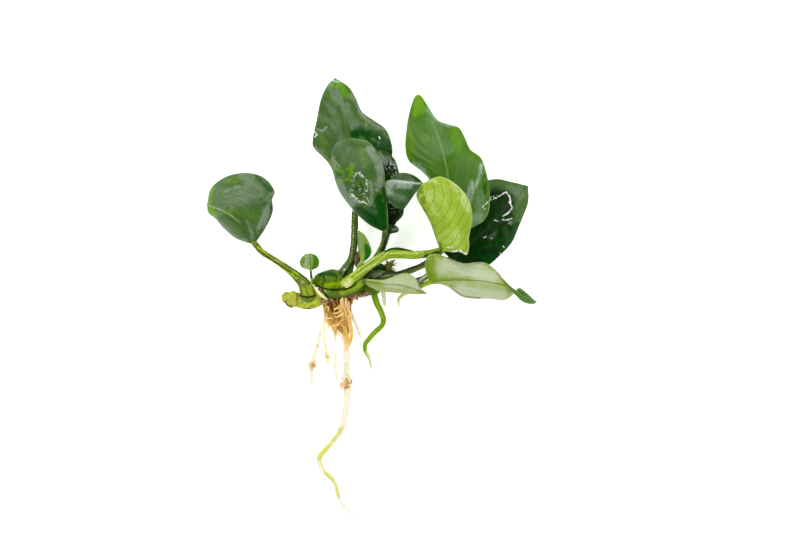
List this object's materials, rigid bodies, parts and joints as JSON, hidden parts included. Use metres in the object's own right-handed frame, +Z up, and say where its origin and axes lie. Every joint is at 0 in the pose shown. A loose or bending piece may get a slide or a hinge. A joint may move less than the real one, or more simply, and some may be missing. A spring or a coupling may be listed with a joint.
{
  "type": "anubias plant",
  "caption": "Bare-root anubias lying flat: broad waxy leaves on sheathed stalks from a creeping rhizome with a bundle of roots.",
  "frame": {"origin": "on the small flat where the underside of the main rhizome rests on the surface that the plant lies on", "axes": "+Z up off the surface, +Y along the surface from the roots to the tops of the tall leaves, +X along the surface towards the pale folded leaves"},
  "size_m": [0.1326, 0.1756, 0.0279],
  "materials": {
    "leaf_dark": "wet waxy dark green upper side of a leaf",
    "leaf_bright": "satin yellow-green underside of a leaf",
    "leaf_pale": "satin pale green underside of a leaf",
    "stalk_dark": "wet dark green leaf stalk",
    "stalk_lime": "satin lime green leaf stalk and sheath",
    "rhizome": "satin green and brown creeping stem",
    "root_tan": "matte brown root fibres",
    "root_cream": "matte cream root",
    "root_green": "satin green young root",
    "bract": "matte dried brown bract"
  },
  "bodies": {
    "root": {"leaf_round_left": "leaf_dark", "leaf_bud_round": "leaf_bright", "leaf_tall_left": "leaf_dark", "leaf_shaded": "leaf_dark", "leaf_front_left": "leaf_dark", "leaf_cupped": "leaf_pale", "leaf_tall_right": "leaf_dark", "leaf_pale_raised": "leaf_bright", "leaf_dark_right": "leaf_dark", "leaf_twisted_right": "leaf_pale", "leaf_low_middle": "leaf_pale", "leaf_young": "leaf_dark", "stalk_round_left": "stalk_dark", "stalk_bud_round": "stalk_lime", "stalk_tall_left": "stalk_dark", "stalk_shaded": "stalk_dark", "stalk_front_left": "stalk_dark", "stalk_cupped": "stalk_dark", "stalk_tall_right": "stalk_dark", "stalk_pale_raised": "stalk_lime", "stalk_dark_right": "stalk_dark", "stalk_twisted_right": "stalk_lime", "stalk_low_middle": "stalk_lime", "stalk_young": "stalk_lime", "bract_brown": "bract", "bract_grey": "leaf_dark", "bract_dried": "bract", "rhizome_main": "rhizome", "rhizome_branch": "rhizome", "root_crown": "root_tan", "root_long": "root_cream", "root_green": "root_green", "root_pale_left": "root_cream", "root_far_left": "root_cream", "root_middle": "root_cream", "root_right_thin": "root_cream", "root_right_short": "root_tan", "root_hook_right": "root_cream", "root_strand": "root_cream"}
  },
  "joints": []
}
